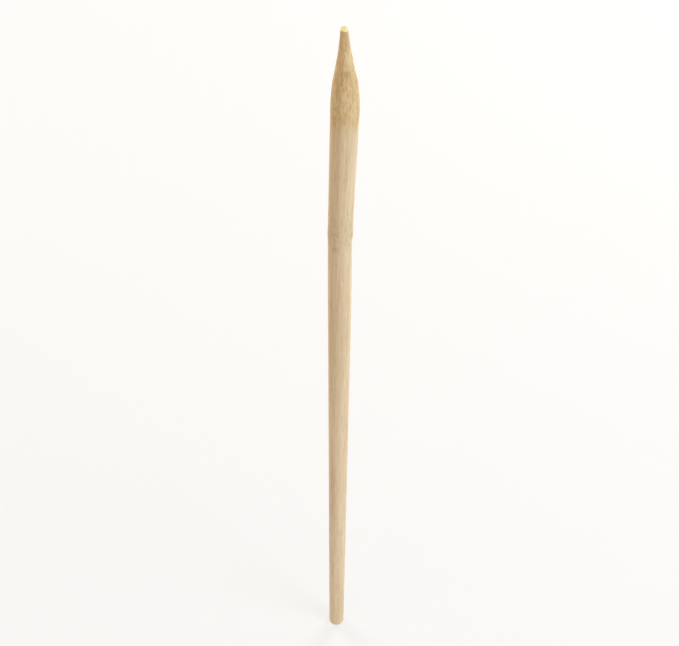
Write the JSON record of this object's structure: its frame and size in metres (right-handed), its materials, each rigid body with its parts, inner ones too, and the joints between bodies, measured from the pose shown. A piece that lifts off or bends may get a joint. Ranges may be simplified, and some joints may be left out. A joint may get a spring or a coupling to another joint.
{
  "type": "bamboo skewer",
  "caption": "Slender round bamboo stick with a ground, blunt-tipped point at one end and a square-cut butt at the other, for threading and grilling food.",
  "frame": {"origin": "centre of the flat butt face", "axes": "+Z along the stick from the butt to the tip; +X the side that the stick turns towards above its cane joint; +Y the side that its shaft bows towards"},
  "size_m": [0.0045, 0.0045, 0.254],
  "materials": {
    "bamboo": "bare matt bamboo, pale straw with fine lengthwise fibre streaks, a little darker on the ground point"
  },
  "bodies": {
    "root": {"skewer": "bamboo"}
  },
  "joints": []
}
